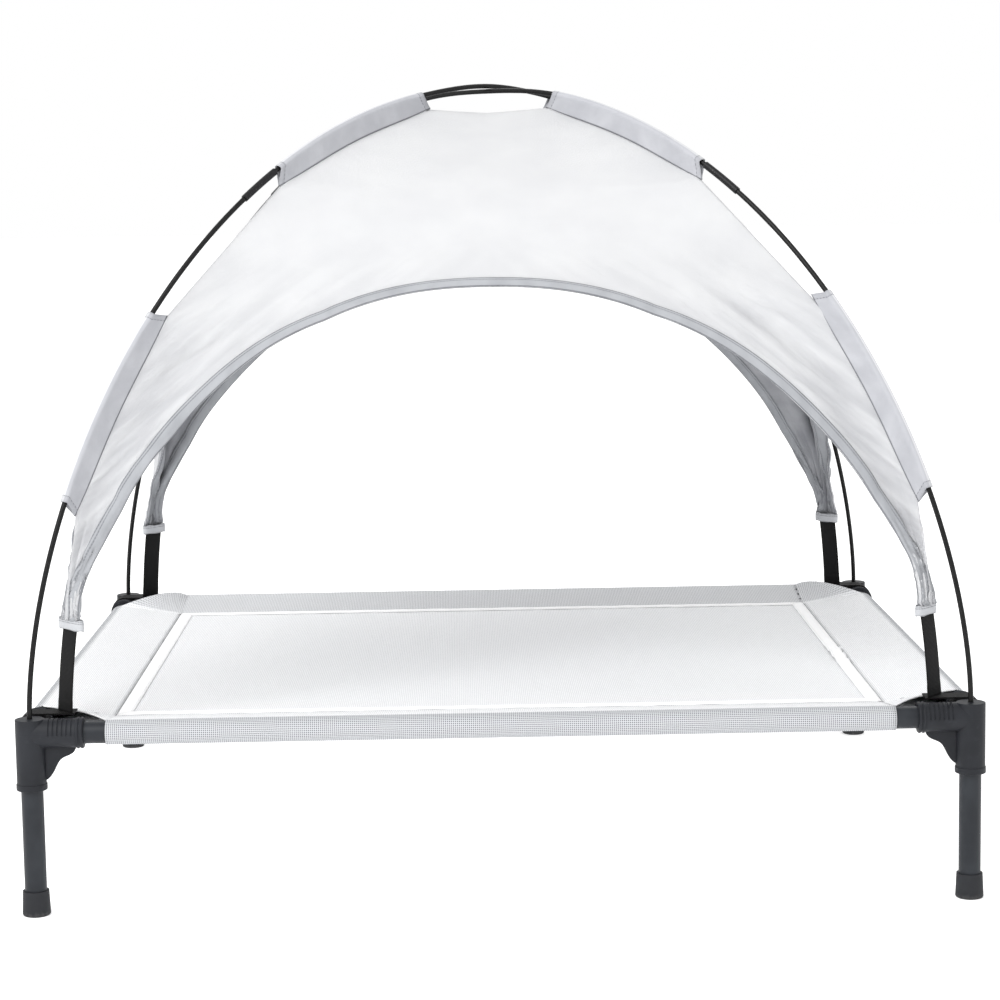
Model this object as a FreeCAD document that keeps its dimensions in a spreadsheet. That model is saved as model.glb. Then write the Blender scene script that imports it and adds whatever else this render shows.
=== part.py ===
"""Raised mesh pet bed on a tube frame, with a lift-off fabric shade on two crossing bowed poles.

Millimetres. X is the width, Y the depth with the front at -Y, Z is up, and the origin is on the
floor under the middle of the bed. Heights are measured from the floor.
"""
import FreeCAD, Part
import math
import os

from FreeCAD import Placement, Rotation, Vector

doc = FreeCAD.newDocument("ShadedPetBed")

SIZES = (
    # frame
    ("overall_width", 920.0),
    ("overall_depth", 760.0),
    ("platform_height", 190.0),
    ("tube_diameter", 21.0),
    ("tube_wall", 1.2),
    ("tube_fit", 0.1),
    ("socket_diameter", 28.0),
    ("socket_length", 68.0),
    ("socket_edge_round", 0.8),
    ("lip_height", 6.0),
    ("lip_overhang", 0.7),
    ("leg_insert", 34.0),
    ("arm_length", 51.0),
    ("rail_stop", 17.0),
    ("bead_radius", 1.6),
    ("bead_overhang", 1.0),
    ("bead_pitch", 3.8),
    ("groove_start", 19.0),
    ("groove_pitch", 4.3),
    ("groove_radius", 0.7),
    ("gusset_thickness", 3.0),
    ("gusset_reach", 29.0),
    ("gusset_drop", 31.0),
    ("foot_height", 24.0),
    ("foot_floor", 3.0),
    ("foot_wall", 1.9),
    ("foot_flare", 1.0),
    ("foot_edge_round", 2.0),
    # sling
    ("sheet_thickness", 1.2),
    ("fabric_thickness", 0.8),
    ("sleeve_gap", 0.3),
    ("bare_rail", 21.0),
    ("corner_scoop", 14.0),
    ("tape_width", 14.0),
    ("tape_setback", 3.0),
    ("tape_thickness", 0.5),
    # poles
    ("shade_height", 789.5),
    ("pole_diameter", 5.0),
    ("pole_insert", 26.0),
    ("pole_clearance", 0.3),
    ("seat_gap", 0.3),
    ("crossing_reach", 60.0),
    ("crossing_gap", 0.4),
    ("ferrule_wall", 0.95),
    ("ferrule_length", 46.0),
    ("ferrule_fit", 0.15),
    # shade fabric
    ("seam_drop", 20.0),
    ("pole_sleeve_gap", 0.4),
    ("pole_sleeve_wall", 1.0),
    ("panel_thickness", 1.0),
    ("crown_sag", 33.0),
    ("arch_depth", 166.5),
    ("leg_strip_width", 20.0),
    ("cuff_rise", 80.0),
    ("cuff_height", 9.0),
    ("cuff_side_slack", 3.5),
    ("cuff_slack", 1.8),
    # straps
    ("strap_width", 25.0),
    ("strap_thickness", 1.4),
    ("strap_foot_inset", 39.0),
    ("strap_head_inset", 49.0),
    ("loop_width", 22.0),
    ("loop_start", 15.0),
    ("loop_reach", 40.0),
)

POLE_BOW_POWER = 1.16       # height along a pole follows cos(angle) to this power
ARCH_SIDE_POWER = 2 / 2.2   # half-width along an arch follows sin(angle) to this power
ARCH_RISE_POWER = 1.5       # height along an arch follows cos(angle) to this power
UPPER_SLEEVE = (8.5, 28.7)  # where each sleeve starts and ends, as bow angles in degrees
LOWER_SLEEVE = (47.3, 67.3)
LEG_END_ANGLE = 81.0
GROOVE_COUNT = 6
BEAD_COUNT = 2
BOTTOM_EDGE = 2             # edge numbers of a plain cylinder, then of a cone
TOP_EDGE = 3
CONE_BASE_EDGE = 3

# corner name: (side in X, side in Y, quarter turns that bring the arms from +X and +Y)
CORNERS = {
    "front_left": (-1, -1, 0),
    "front_right": (1, -1, 1),
    "rear_right": (1, 1, 2),
    "rear_left": (-1, 1, 3),
}

ALONG_X = Rotation(Vector(0, 1, 0), 90)
ALONG_Y = Rotation(Vector(1, 0, 0), -90)

sheet = doc.addObject("Spreadsheet::Sheet", "Sizes")
for row, (alias, value) in enumerate(SIZES, start=1):
    sheet.set(f"A{row}", alias)
    sheet.set(f"B{row}", str(value))
    sheet.setAlias(f"B{row}", alias)
doc.recompute()

SPAN_X = "(Sizes.overall_width - Sizes.socket_diameter)"
SPAN_Y = "(Sizes.overall_depth - Sizes.socket_diameter)"
ARM_AXIS = "(Sizes.platform_height - Sizes.socket_diameter / 2)"
SEAM_INSET = "(Sizes.arm_length + Sizes.bare_rail)"

subparts = []


def size(alias):
    """Return one driving size from the sheet."""
    return float(sheet.get(alias))


post_x = (size("overall_width") - size("socket_diameter")) / 2
post_y = (size("overall_depth") - size("socket_diameter")) / 2
half_span = math.hypot(post_x, post_y)
platform_top = size("platform_height")
arm_axis = platform_top - size("socket_diameter") / 2
tube_radius = size("tube_diameter") / 2
pole_radius = size("pole_diameter") / 2


# ---------------------------------------------------------------- helpers

def bound(kind, name, sizes, base=(), turn=Rotation()):
    """Add a Part primitive whose sizes and base point are bound to the sheet."""
    item = doc.addObject(kind, name)
    item.Placement = Placement(Vector(), turn)
    for prop, expression in sizes.items():
        item.setExpression(prop, expression)
    for axis, expression in zip("xyz", base):
        item.setExpression(f"Placement.Base.{axis}", expression)
    return item


def cylinder(name, radius, height, base=(), turn=Rotation()):
    """Add a bound cylinder."""
    return bound("Part::Cylinder", name, {"Radius": radius, "Height": height}, base, turn)


def rounded(name, base, edge_sizes):
    """Round the numbered edges of a primitive."""
    doc.recompute()
    item = doc.addObject("Part::Fillet", name)
    item.Base = base
    item.Edges = [(edge, radius, radius) for edge, radius in edge_sizes]
    return item


def fused(name, items):
    """Join several objects into one."""
    item = doc.addObject("Part::MultiFuse", name)
    item.Shapes = items
    return item


def cut(name, base, tool):
    """Take one object away from another."""
    item = doc.addObject("Part::Cut", name)
    item.Base = base
    item.Tool = tool
    return item


def made(name, shape):
    """Add an object that holds a shape made here."""
    item = doc.addObject("Part::Feature", name)
    item.Shape = shape
    return item


def subpart(item, label):
    """Register one finished sub-part under its own name."""
    item.Label = label
    subparts.append(item)
    return item


def at_corner(item, corner):
    """Stand an object made round its own post axis at one corner of the frame."""
    side_x, side_y, turns = CORNERS[corner]
    item.Placement = Placement(Vector(), Rotation(Vector(0, 0, 1), 90 * turns))
    item.setExpression("Placement.Base.x", f"{side_x} * {SPAN_X} / 2")
    item.setExpression("Placement.Base.y", f"{side_y} * {SPAN_Y} / 2")


def edge_loop(edges):
    """Make a face from edges that close on one another."""
    return Part.Face(Part.Wire(Part.__sortEdges__(edges)))


def spline(points):
    """Make a smooth edge through points."""
    curve = Part.BSplineCurve()
    curve.interpolate(points)
    return curve.toShape()


def steps(first, last, count):
    """Return count + 1 evenly spaced numbers from first to last."""
    return [first + (last - first) * index / count for index in range(count + 1)]


# ---------------------------------------------------------------- frame

def gusset(name, turn):
    """Thin web under one arm: a wavy edge from the arm down to the post."""
    reach = size("gusset_reach")
    drop = size("gusset_drop")
    root = size("socket_diameter") / 2
    top = arm_axis - root
    buried = root / 2
    wave = [(1.0, 0.0), (0.89, 0.17), (0.53, 0.34), (0.31, 0.65), (0.16, 0.88), (0.0, 1.0)]
    points = [Vector(root + reach * along, 0, top - drop * down) for along, down in wave]
    inner_low = Vector(buried, 0, points[-1].z)
    inner_high = Vector(buried, 0, top + buried)
    outer_high = Vector(points[0].x, 0, top + buried)
    face = edge_loop([
        spline(points),
        Part.makeLine(points[-1], inner_low),
        Part.makeLine(inner_low, inner_high),
        Part.makeLine(inner_high, outer_high),
        Part.makeLine(outer_high, points[0]),
    ])
    face.translate(Vector(0, -size("gusset_thickness") / 2, 0))
    web = face.extrude(Vector(0, size("gusset_thickness"), 0))
    item = made(name, web)
    item.Placement = Placement(Vector(), turn)
    return item


def arm_parts(name, turn, along, upper_half):
    """Solid parts and grooves of one arm; along places a length on the arm's own axis."""
    radius = "Sizes.socket_diameter / 2"
    solids = [cylinder(f"{name}_arm", radius, "Sizes.arm_length", along("0"), turn)]
    for index in range(BEAD_COUNT):
        place = f"Sizes.arm_length - Sizes.bead_radius - {index} * Sizes.bead_pitch"
        bead_sizes = {
            "Radius1": f"{radius} + Sizes.bead_overhang - Sizes.bead_radius",
            "Radius2": "Sizes.bead_radius",
        }
        solids.append(bound("Part::Torus", f"{name}_bead_{index}", bead_sizes, along(place), turn))
    grooves = []
    for index in range(GROOVE_COUNT):
        place = f"Sizes.groove_start + {index} * Sizes.groove_pitch"
        groove_sizes = {"Radius1": radius, "Radius2": "Sizes.groove_radius"}
        half_turn = turn * Rotation(Vector(0, 0, 1), upper_half)
        groove = bound("Part::Torus", f"{name}_groove_{index}", groove_sizes, along(place), half_turn)
        groove.Angle3 = 180
        grooves.append(groove)
    return solids, grooves


def connector(corner):
    """Three-way plastic corner: a leg socket, two rail arms, webs, and a pole hole in its top."""
    name = f"connector_{corner}"
    radius = "Sizes.socket_diameter / 2"
    foot_of_socket = "Sizes.platform_height - Sizes.socket_length"
    round_radius = size("socket_edge_round")
    post = cylinder(f"{name}_post", radius, "Sizes.socket_length", ("0", "0", foot_of_socket))
    lip = cylinder(f"{name}_lip", f"{radius} + Sizes.lip_overhang", "Sizes.lip_height",
                   ("0", "0", foot_of_socket))
    solids = [
        rounded(f"{name}_post_round", post, [(TOP_EDGE, round_radius)]),
        rounded(f"{name}_lip_round", lip, [(TOP_EDGE, round_radius / 2), (BOTTOM_EDGE, round_radius)]),
        gusset(f"{name}_web_x", Rotation()),
        gusset(f"{name}_web_y", Rotation(Vector(0, 0, 1), 90)),
    ]
    along_x = (lambda place: (place, "0", ARM_AXIS))
    along_y = (lambda place: ("0", place, ARM_AXIS))
    solids_x, grooves_x = arm_parts(f"{name}_x", ALONG_X, along_x, 90)
    solids_y, grooves_y = arm_parts(f"{name}_y", ALONG_Y, along_y, 180)
    bore = "Sizes.tube_diameter / 2 + Sizes.tube_fit"
    rail_bore_length = "Sizes.arm_length - Sizes.rail_stop"
    bores = [
        cylinder(f"{name}_leg_bore", bore, "Sizes.leg_insert", ("0", "0", foot_of_socket)),
        cylinder(f"{name}_rail_bore_x", bore, rail_bore_length, along_x("Sizes.rail_stop"), ALONG_X),
        cylinder(f"{name}_rail_bore_y", bore, rail_bore_length, along_y("Sizes.rail_stop"), ALONG_Y),
        cylinder(f"{name}_pole_hole", "Sizes.pole_diameter / 2 + Sizes.pole_clearance",
                 "Sizes.pole_insert", ("0", "0", "Sizes.platform_height - Sizes.pole_insert")),
    ]
    body = fused(f"{name}_solid", solids + solids_x + solids_y)
    hollows = fused(f"{name}_hollows", bores + grooves_x + grooves_y)
    item = subpart(cut(f"{name}_cut", body, hollows), name)
    at_corner(item, corner)


def tube(label, length, base, turn=Rotation()):
    """Hollow steel tube of the frame's own diameter and wall."""
    outer = cylinder(f"{label}_outer", "Sizes.tube_diameter / 2", length, (), turn)
    inner = cylinder(f"{label}_inner", "Sizes.tube_diameter / 2 - Sizes.tube_wall", length, (), turn)
    item = subpart(cut(f"{label}_cut", outer, inner), label)
    for axis, expression in zip("xyz", base):
        item.setExpression(f"Placement.Base.{axis}", expression)


def leg(corner):
    """Leg tube, from the foot cap's floor up into the corner's socket."""
    side_x, side_y, _ = CORNERS[corner]
    socket_roof = "Sizes.platform_height - Sizes.socket_length + Sizes.leg_insert"
    tube(f"leg_{corner}", f"{socket_roof} - Sizes.foot_floor",
         (f"{side_x} * {SPAN_X} / 2", f"{side_y} * {SPAN_Y} / 2", "Sizes.foot_floor"))


def foot(corner):
    """Rubber cap on a leg: a cup that flares a little towards the floor."""
    label = f"foot_cap_{corner}"
    rim = "Sizes.tube_diameter / 2 + Sizes.tube_fit + Sizes.foot_wall"
    cone_sizes = {"Radius1": f"{rim} + Sizes.foot_flare", "Radius2": rim, "Height": "Sizes.foot_height"}
    cup = rounded(f"{label}_cup", bound("Part::Cone", f"{label}_cone", cone_sizes),
                  [(CONE_BASE_EDGE, size("foot_edge_round"))])
    bore = cylinder(f"{label}_bore", "Sizes.tube_diameter / 2 + Sizes.tube_fit",
                    "Sizes.foot_height - Sizes.foot_floor", ("0", "0", "Sizes.foot_floor"))
    item = subpart(cut(f"{label}_cut", cup, bore), label)
    at_corner(item, corner)


def rails():
    """Four rails between the corners, each running from arm bore to arm bore."""
    for side, face in ((-1, "front"), (1, "rear")):
        tube(f"rail_{face}", f"{SPAN_X} - 2 * Sizes.rail_stop",
             (f"Sizes.rail_stop - {SPAN_X} / 2", f"{side} * {SPAN_Y} / 2", ARM_AXIS), ALONG_X)
    for side, face in ((-1, "left"), (1, "right")):
        tube(f"rail_{face}", f"{SPAN_Y} - 2 * Sizes.rail_stop",
             (f"{side} * {SPAN_X} / 2", f"Sizes.rail_stop - {SPAN_Y} / 2", ARM_AXIS), ALONG_Y)


for corner_name in CORNERS:
    connector(corner_name)
    leg(corner_name)
    foot(corner_name)
rails()


# ---------------------------------------------------------------- sling

seam_inset = size("arm_length") + size("bare_rail")
seam_x = post_x - seam_inset
seam_y = post_y - seam_inset


def sling_centre():
    """The flat mesh sheet inside the seams, level with the rails' axes."""
    box_sizes = {
        "Length": f"{SPAN_X} - 2 * {SEAM_INSET}",
        "Width": f"{SPAN_Y} - 2 * {SEAM_INSET}",
        "Height": "Sizes.sheet_thickness",
    }
    base = (
        f"{SEAM_INSET} - {SPAN_X} / 2",
        f"{SEAM_INSET} - {SPAN_Y} / 2",
        f"{ARM_AXIS} - Sizes.sheet_thickness / 2",
    )
    subpart(bound("Part::Box", "sling_centre_box", box_sizes, base), "sling_centre")


def border_tape():
    """White binding tape stitched on top of the sheet along the four seams."""
    width = size("tape_width")
    far_x = seam_x - size("tape_setback")
    far_y = seam_y - size("tape_setback")
    outer = Part.makeBox(2 * far_x, 2 * far_y, size("tape_thickness"))
    outer.translate(Vector(-far_x, -far_y, 0))
    inner = Part.makeBox(2 * (far_x - width), 2 * (far_y - width), size("tape_thickness"))
    inner.translate(Vector(width - far_x, width - far_y, 0))
    item = made("border_tape_ring", outer.cut(inner))
    item.Placement = Placement(Vector(0, 0, arm_axis + size("sheet_thickness") / 2), Rotation())
    subpart(item, "border_tape")


def sleeve_outline(offset, tail_half, tail_length):
    """Closed teardrop round a rail: an arc on the outer side, running flat to the inner seam."""
    radius = tube_radius + offset
    top = Vector(0, 0, radius)
    low = Vector(0, 0, -radius)
    arc = Part.Arc(top, Vector(-radius, 0, 0), low).toShape()
    tail_top = Vector(tail_length, 0, tail_half)
    tail_low = Vector(tail_length, 0, -tail_half)
    return edge_loop([
        arc,
        Part.makeLine(low, tail_low),
        Part.makeLine(tail_low, tail_top),
        Part.makeLine(tail_top, top),
    ])


def rail_sleeve(face, turn, rail_distance, half_length):
    """Mesh sleeve that wraps one rail and narrows to the seam with the centre sheet."""
    gap = size("sleeve_gap")
    skin = size("fabric_thickness")
    outer = sleeve_outline(gap + skin, skin, seam_inset)
    inner = sleeve_outline(gap, 0.05, seam_inset - 2 * skin)
    profile = outer.cut(inner)
    profile.translate(Vector(0, -half_length, 0))
    item = made(f"sling_sleeve_{face}_skin", profile.extrude(Vector(0, 2 * half_length, 0)))
    spin = Rotation(Vector(0, 0, 1), turn)
    item.Placement = Placement(spin.multVec(Vector(-rail_distance, 0, 0)) + Vector(0, 0, arm_axis), spin)
    subpart(item, f"sling_sleeve_{face}")


def corner_webs():
    """Four corner pieces of the sling, each scooped where it passes inside a connector."""
    gap = size("sleeve_gap")
    skin = size("fabric_thickness")
    low = arm_axis + skin
    high = arm_axis + tube_radius
    webs = []
    for side_x, side_y, _ in CORNERS.values():
        root = Vector(side_x * (seam_x + gap), side_y * (seam_y + gap), low)
        tip_x = Vector(side_x * (post_x - tube_radius - gap - skin), root.y, high)
        tip_y = Vector(root.x, side_y * (post_y - tube_radius - gap - skin), high)
        middle = (tip_x + tip_y) * 0.5
        inward = (root - middle).normalize()
        scoop = Part.Arc(tip_x, middle + inward * size("corner_scoop"), tip_y).toShape()
        face = edge_loop([scoop, Part.makeLine(tip_y, root), Part.makeLine(root, tip_x)])
        webs.append(face.extrude(Vector(0, 0, -skin)))
    subpart(made("sling_corner_group", Part.makeCompound(webs)), "sling_corner_webs")


sling_centre()
border_tape()
rail_sleeve("left", 0, post_x, seam_y)
rail_sleeve("front", 90, post_y, seam_x)
rail_sleeve("right", 180, post_x, seam_y)
rail_sleeve("rear", 270, post_y, seam_x)
corner_webs()


# ---------------------------------------------------------------- poles

crossing_lift = pole_radius + size("crossing_gap") / 2
pole_rise = size("shade_height") - pole_radius - crossing_lift - platform_top

# pole name: (end at the front, end at the rear, which way it shifts at the crossing)
POLES = {
    "pole_a": ("front_left", "rear_right", 1),
    "pole_b": ("front_right", "rear_left", -1),
}
UP = Vector(0, 0, 1)


def bow(angle):
    """Distance from the middle and height of both poles' common curve at a bow angle."""
    radians = math.radians(angle)
    height = platform_top + pole_rise * abs(math.cos(radians)) ** POLE_BOW_POWER
    return half_span * math.sin(radians), height


def bow_slope(angle):
    """Unit direction of the common curve at a bow angle, as (outwards, up)."""
    step = 0.01
    before = bow(angle - step)
    after = bow(angle + step)
    run = after[0] - before[0]
    rise = after[1] - before[1]
    length = math.hypot(run, rise)
    return run / length, rise / length


def outward(pole, end):
    """Unit vector from the middle of the bed towards one end of a pole."""
    side_x, side_y, _ = CORNERS[POLES[pole][end]]
    return Vector(side_x * post_x, side_y * post_y, 0) * (1 / half_span)


def pole_point(pole, end, angle):
    """Point on a pole's own centre line, moved a little where the two poles cross."""
    distance, height = bow(angle)
    nudge = math.exp(-(distance / size("crossing_reach")) ** 2)
    lift = POLES[pole][2] * crossing_lift * nudge
    return outward(pole, end) * distance + UP * (height + lift)


def pole_path(pole, end, first, last, count):
    """Smooth centre line between two bow angles on one half of a pole."""
    return spline([pole_point(pole, end, angle) for angle in steps(first, last, count)])


def swept(path, profile):
    """Sweep a closed outline along a path into a solid."""
    return Part.Wire(path).makePipeShell([profile], True, False)


def ring(centre, along, radius):
    """Circle square to a direction."""
    return Part.Wire(Part.makeCircle(radius, centre, along))


def start_direction(path):
    """Direction in which an edge sets off."""
    return path.tangentAt(path.FirstParameter)


def degrees_along(angle, length):
    """Bow angle covered by a short length of pole that starts at a bow angle."""
    before = bow(angle)
    after = bow(angle + 1)
    return length / math.hypot(after[0] - before[0], after[1] - before[1])


ferrule_half_turn = degrees_along(UPPER_SLEEVE[1], size("ferrule_length") / 2)
joint_angle = UPPER_SLEEVE[1] + degrees_along(UPPER_SLEEVE[1], size("seat_gap")) + ferrule_half_turn


def pole_sections(pole):
    """Three rods of one pole: a middle one, and two whose ends stand in the corners."""
    middle_points = [pole_point(pole, 0, angle) for angle in steps(joint_angle, 0, 10)]
    middle_points += [pole_point(pole, 1, angle) for angle in steps(0, joint_angle, 10)][1:]
    middle = spline(middle_points)
    profile = ring(middle_points[0], start_direction(middle), pole_radius)
    subpart(made(f"{pole}_middle_rod", swept([middle], profile)), f"{pole}_middle")
    for end, name in enumerate(("front", "rear")):
        points = [pole_point(pole, end, angle) for angle in steps(90, joint_angle, 30)]
        landing = points[0] - UP * (size("pole_insert") - size("seat_gap"))
        profile = ring(landing, UP, pole_radius)
        rod = swept([Part.makeLine(landing, points[0]), spline(points)], profile)
        subpart(made(f"{pole}_{name}_rod", rod), f"{pole}_{name}")


def ferrules(pole):
    """Metal tubes that join the rods of one pole, one towards each end."""
    for end, name in enumerate(("front", "rear")):
        path = pole_path(pole, end, joint_angle - ferrule_half_turn, joint_angle + ferrule_half_turn, 4)
        start = path.valueAt(path.FirstParameter)
        heading = start_direction(path)
        bore = pole_radius + size("ferrule_fit")
        outer = swept([path], ring(start, heading, bore + size("ferrule_wall")))
        inner = swept([path], ring(start, heading, bore))
        subpart(made(f"ferrule_{pole}_{name}_tube", outer.cut(inner)), f"ferrule_{pole}_{name}")


def pole_sleeve(pole, end, level, angles):
    """Fabric sleeve round a pole, flattened inwards to its seam with the canopy."""
    path = pole_path(pole, end, angles[0], angles[1], 12)
    start = path.valueAt(path.FirstParameter)
    heading = start_direction(path)
    sideways = outward(pole, end).cross(UP)
    inward = heading.cross(sideways)
    inward = inward if inward.z < 0 else inward * -1
    bore = pole_radius + size("pole_sleeve_gap")
    radius = bore + size("pole_sleeve_wall")
    tip = start + inward * (size("seam_drop") - 0.2)
    left = start + sideways * radius
    right = start - sideways * radius
    tip_left = tip + sideways * (size("pole_sleeve_wall") / 2)
    tip_right = tip - sideways * (size("pole_sleeve_wall") / 2)
    outline = Part.Wire([
        Part.Arc(left, start - inward * radius, right).toShape(),
        Part.makeLine(right, tip_right),
        Part.makeLine(tip_right, tip_left),
        Part.makeLine(tip_left, left),
    ])
    skin = swept([path], outline).cut(swept([path], ring(start, heading, bore)))
    corner = POLES[pole][end]
    subpart(made(f"sleeve_{level}_{corner}_skin", skin), f"pole_sleeve_{level}_{corner}")


for pole_name in POLES:
    pole_sections(pole_name)
    ferrules(pole_name)
    for pole_end in (0, 1):
        pole_sleeve(pole_name, pole_end, "upper", UPPER_SLEEVE)
        pole_sleeve(pole_name, pole_end, "lower", LOWER_SLEEVE)


# ---------------------------------------------------------------- canopy

crown_height = size("shade_height") - size("crown_sag")
cuff_bottom = platform_top + size("cuff_rise")
leg_end = cuff_bottom + size("cuff_height")


def seam_point(angle, drop):
    """Point below the poles' curve, square to it, as (distance from the middle, height)."""
    distance, height = bow(angle)
    run, rise = bow_slope(angle)
    return distance + rise * drop, height - run * drop


def ridge_edges(drop, place):
    """Edges of the canopy's ridge from crown to leg end; place turns (distance, height) to a point."""
    crown = place((0.0, crown_height - drop))
    upper = [place(seam_point(angle, drop + size("seam_drop"))) for angle in steps(*UPPER_SLEEVE, 6)]
    lower_angles = steps(LOWER_SLEEVE[0], LEG_END_ANGLE, 10)
    lower = [place(seam_point(angle, drop + size("seam_drop"))) for angle in lower_angles]
    edges = [
        Part.makeLine(crown, upper[0]),
        spline(upper),
        Part.makeLine(upper[-1], lower[0]),
        spline(lower),
    ]
    return edges, crown, lower[-1]


def arch_prism(half_width, reach, place):
    """Solid that cuts one arched opening through a panel, standing on the floor."""
    rise = crown_height - size("arch_depth") - cuff_bottom
    quarter = []
    for angle in steps(90, 0, 12):
        radians = math.radians(angle)
        across = half_width * math.sin(radians) ** ARCH_SIDE_POWER
        quarter.append((across, cuff_bottom + rise * abs(math.cos(radians)) ** ARCH_RISE_POWER))
    outline = [(-across, height) for across, height in quarter] + quarter[::-1][1:]
    points = [place(across, height) for across, height in outline]
    floor_left = place(-half_width, 0)
    floor_right = place(half_width, 0)
    face = edge_loop([
        spline(points),
        Part.makeLine(points[-1], floor_right),
        Part.makeLine(floor_right, floor_left),
        Part.makeLine(floor_left, points[0]),
    ])
    return face.extrude(reach)


def canopy_panel(face, own_post, side_post, turn):
    """One curved panel: straight across, following the ridge's curve, cut by mitres and an arch."""
    scale = own_post / half_span
    place = (lambda spot: Vector(0, -spot[0] * scale, spot[1]))
    outer, outer_crown, outer_end = ridge_edges(0.0, place)
    inner, inner_crown, inner_end = ridge_edges(size("panel_thickness"), place)
    closing = [Part.makeLine(outer_crown, inner_crown), Part.makeLine(outer_end, inner_end)]
    profile = edge_loop(outer + inner + closing)
    profile.translate(Vector(-side_post, 0, 0))
    sheet_of_cloth = profile.extrude(Vector(2 * side_post, 0, 0))
    wedge = Part.Face(Part.makePolygon([
        Vector(0, 0, leg_end),
        Vector(-side_post, -own_post, leg_end),
        Vector(side_post, -own_post, leg_end),
        Vector(0, 0, leg_end),
    ])).extrude(UP * size("shade_height"))
    leg_x = seam_point(LEG_END_ANGLE, size("seam_drop"))[0] * side_post / half_span
    half_width = leg_x - size("leg_strip_width")
    arch = arch_prism(half_width, Vector(0, -own_post, 0), lambda across, height: Vector(across, 0, height))
    item = made(f"canopy_{face}_cloth", sheet_of_cloth.common(wedge).cut(arch))
    item.Placement = Placement(Vector(), Rotation(UP, turn))
    subpart(item, f"canopy_panel_{face}")


canopy_panel("front", post_y, post_x, 0)
canopy_panel("right", post_x, post_y, 90)
canopy_panel("rear", post_y, post_x, 180)
canopy_panel("left", post_x, post_y, 270)


# ---------------------------------------------------------------- cuffs and straps

def diagonal_frame(corner):
    """Unit vectors outwards to a corner and square to that diagonal."""
    side_x, side_y, _ = CORNERS[corner]
    out = Vector(side_x * post_x, side_y * post_y, 0) * (1 / half_span)
    return out, out.cross(UP)


def flat_ring(centre, out, sideways, width, depth):
    """Flat rectangle across a diagonal, as a face."""
    half_w = sideways * (width / 2)
    half_d = out * (depth / 2)
    corners = [centre + half_w + half_d, centre - half_w + half_d, centre - half_w - half_d]
    corners.append(centre + half_w - half_d)
    return Part.Face(Part.makePolygon(corners + corners[:1]))


loop_top = platform_top + size("seat_gap") + size("strap_thickness")


def strap_distance(height):
    """How far from the middle a strap's face lies at a height, leaning in towards its top."""
    share = (height - loop_top) / (leg_end - loop_top)
    inset = size("strap_foot_inset") + share * (size("strap_head_inset") - size("strap_foot_inset"))
    return half_span - inset


def cuff(corner):
    """Flattened fabric band that gathers one leg of the canopy round its strap."""
    out, sideways = diagonal_frame(corner)
    wall = size("panel_thickness")
    height = size("cuff_height")
    width = size("strap_width") + 2 * size("cuff_side_slack")
    depth = size("strap_thickness") + 2 * size("cuff_slack")
    centre = out * strap_distance(cuff_bottom + height / 2) + UP * cuff_bottom
    outer = flat_ring(centre, out, sideways, width + 2 * wall, depth + 2 * wall).extrude(UP * height)
    inner = flat_ring(centre, out, sideways, width, depth).extrude(UP * height)
    subpart(made(f"cuff_{corner}_band", outer.cut(inner)), f"leg_cuff_{corner}")


def strap(corner):
    """Elastic webbing from the loop on the side arm up into the canopy leg's cuff."""
    out, sideways = diagonal_frame(corner)
    thick = size("strap_thickness")
    foot_height = loop_top + size("seat_gap")
    head_height = leg_end - size("seat_gap")
    low = out * strap_distance(foot_height) + UP * foot_height
    high = out * strap_distance(head_height) + UP * head_height
    half = out * (thick / 2)
    side = Part.Face(Part.makePolygon([low + half, high + half, high - half, low - half, low + half]))
    side.translate(sideways * (-size("strap_width") / 2))
    subpart(made(f"strap_{corner}_web", side.extrude(sideways * size("strap_width"))), f"strap_{corner}")


def strap_loop(corner):
    """Webbing loop round the side arm, with a flap on which the strap's foot is sewn."""
    side_x, side_y, _ = CORNERS[corner]
    thick = size("strap_thickness")
    inner = size("socket_diameter") / 2 + size("seat_gap")
    depth = size("socket_diameter") / 2 + size("gusset_drop") + size("seat_gap")
    half_base = size("gusset_thickness") * 2
    width = Vector(0, size("loop_width"), 0)
    start = Vector(0, size("loop_start"), arm_axis)
    left = start - Vector(inner, 0, 0)
    right = start + Vector(inner, 0, 0)
    low_left = start - Vector(half_base, 0, depth)
    low_right = start + Vector(half_base, 0, -depth)
    hollow = edge_loop([
        Part.Arc(left, start + UP * inner, right).toShape(),
        Part.makeLine(right, low_right),
        Part.makeLine(low_right, low_left),
        Part.makeLine(low_left, left),
    ])
    band = hollow.makeOffset2D(thick).extrude(width)
    flap = Part.makeBox(size("loop_reach"), size("loop_width"), thick, start + UP * inner)
    shape = band.fuse(flap).cut(hollow.extrude(width)).removeSplitter()
    mirror = FreeCAD.Matrix(-side_x, 0, 0, 0, 0, -side_y, 0, 0, 0, 0, 1, 0, 0, 0, 0, 1)
    item = made(f"loop_{corner}_web", shape.transformGeometry(mirror))
    item.Placement = Placement(Vector(side_x * post_x, side_y * post_y, 0), Rotation())
    subpart(item, f"strap_loop_{corner}")


for corner_name in CORNERS:
    cuff(corner_name)
    strap(corner_name)
    strap_loop(corner_name)


# ---------------------------------------------------------------- checks and export

doc.recompute()

for entry in doc.Objects:
    if "Invalid" in entry.State or "Error" in entry.State:
        raise RuntimeError(f"{entry.Label} did not recompute")
for entry in subparts:
    if entry.Shape.isNull() or not entry.Shape.isValid() or not entry.Shape.Solids:
        raise RuntimeError(f"{entry.Label} has no valid solid")

os.makedirs("parts", exist_ok=True)
for entry in subparts:
    entry.Shape.exportStep(f"parts/{entry.Label}.step")
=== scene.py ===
import bpy
import numpy as np
from mathutils import Matrix, Vector


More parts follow.
